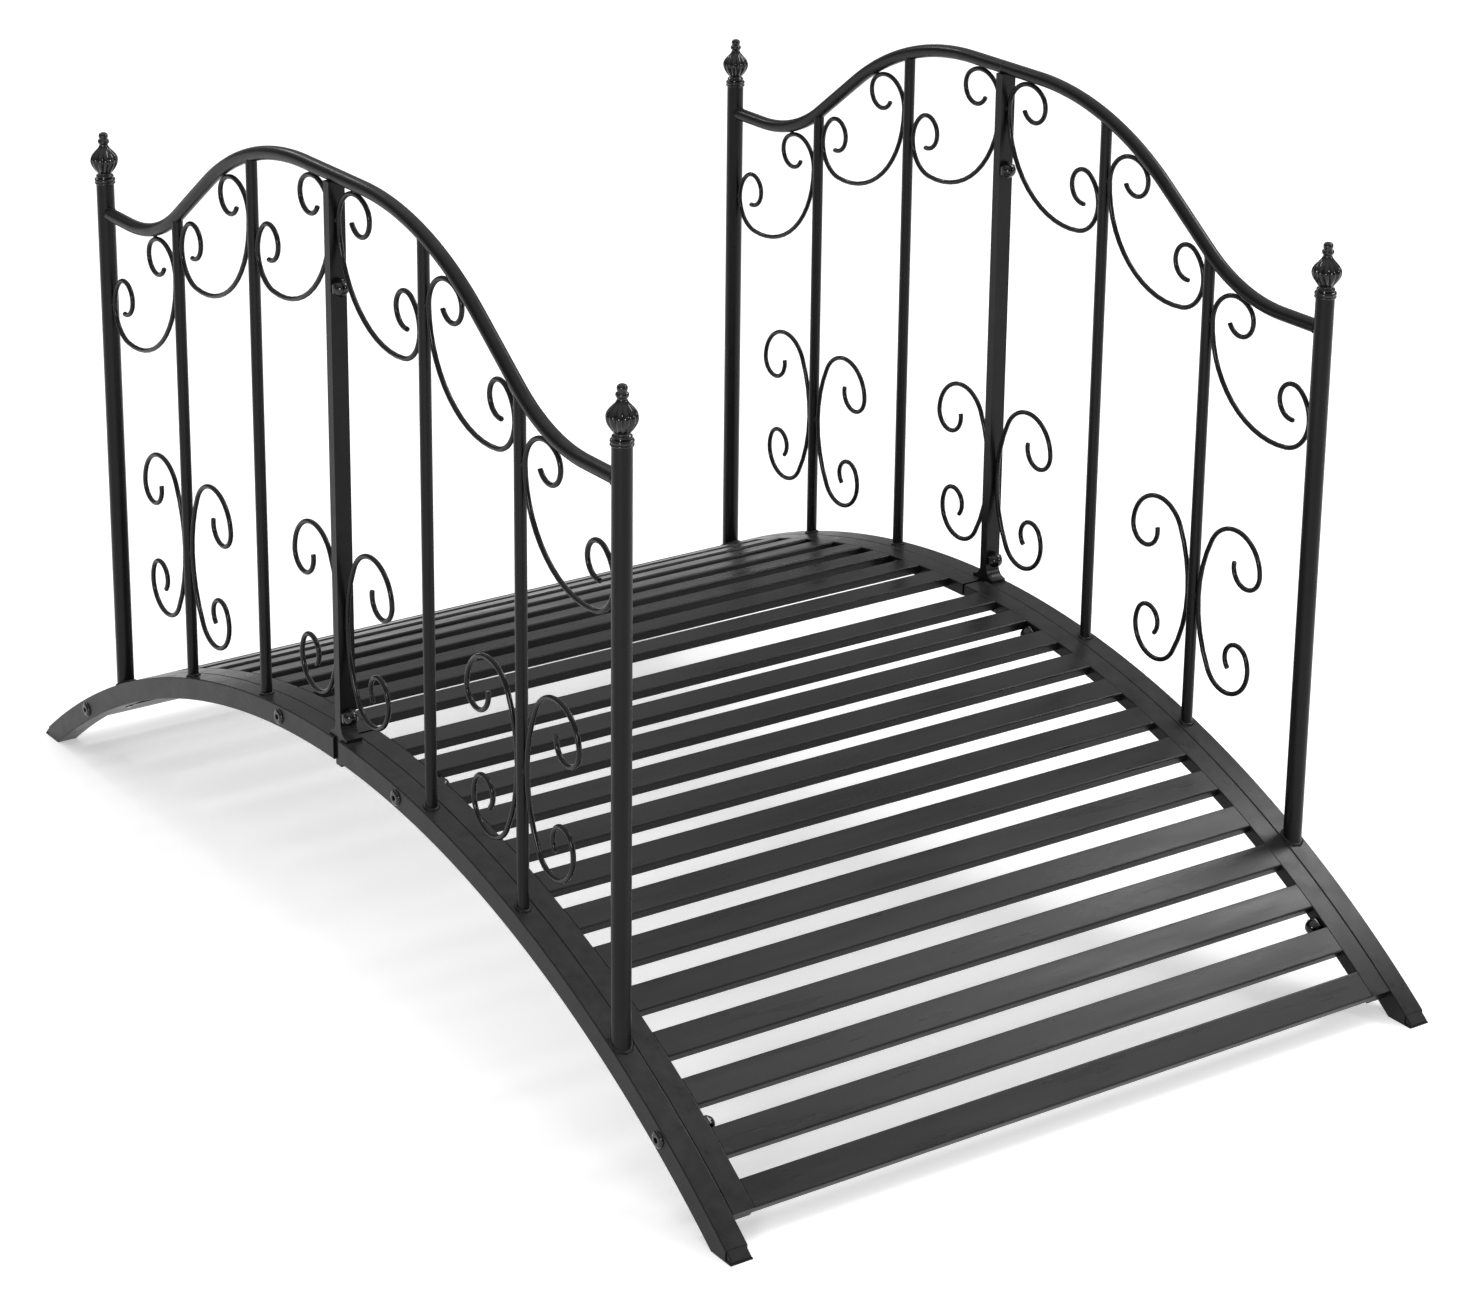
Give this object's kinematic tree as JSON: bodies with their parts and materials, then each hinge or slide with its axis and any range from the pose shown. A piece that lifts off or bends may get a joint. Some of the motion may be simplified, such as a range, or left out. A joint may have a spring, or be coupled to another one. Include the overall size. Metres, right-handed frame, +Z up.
{
  "type": "arched garden bridge",
  "caption": "Small arched steel garden bridge with a slatted deck and scrolled balustrades under humped handrails.",
  "frame": {"origin": "on the ground, under the middle of the bridge's outline", "axes": "+X along the walkway towards the end nearer to the picture's camera, +Y from the left balustrade to the right one as the picture shows them, +Z up"},
  "size_m": [1.182, 0.71, 0.703],
  "materials": {
    "frame_paint": "satin black powder coat",
    "deck_paint": "satin black powder coat, slightly dusty on the treads",
    "rod_paint": "semi-gloss black powder coat",
    "finial_paint": "glossy black paint over cast iron"
  },
  "bodies": {
    "root": {"outer_rail_left_front": "frame_paint", "deck_rail_left_front": "frame_paint", "end_post_left_front": "frame_paint", "balusters_left_front": "frame_paint", "centre_bar_left_front": "frame_paint", "handrail_left_front": "frame_paint", "upper_scrolls_left_front": "rod_paint", "lower_scrolls_left_front": "rod_paint", "finial_left_front": "finial_paint", "outer_rail_left_back": "frame_paint", "deck_rail_left_back": "frame_paint", "end_post_left_back": "frame_paint", "balusters_left_back": "frame_paint", "centre_bar_left_back": "frame_paint", "handrail_left_back": "frame_paint", "upper_scrolls_left_back": "rod_paint", "lower_scrolls_left_back": "rod_paint", "finial_left_back": "finial_paint", "outer_rail_right_front": "frame_paint", "deck_rail_right_front": "frame_paint", "end_post_right_front": "frame_paint", "balusters_right_front": "frame_paint", "centre_bar_right_front": "frame_paint", "handrail_right_front": "frame_paint", "upper_scrolls_right_front": "rod_paint", "lower_scrolls_right_front": "rod_paint", "finial_right_front": "finial_paint", "outer_rail_right_back": "frame_paint", "deck_rail_right_back": "frame_paint", "end_post_right_back": "frame_paint", "balusters_right_back": "frame_paint", "centre_bar_right_back": "frame_paint", "handrail_right_back": "frame_paint", "upper_scrolls_right_back": "rod_paint", "lower_scrolls_right_back": "rod_paint", "finial_right_back": "finial_paint", "deck_slats_front": "deck_paint", "deck_slats_back": "deck_paint"}
  },
  "joints": []
}
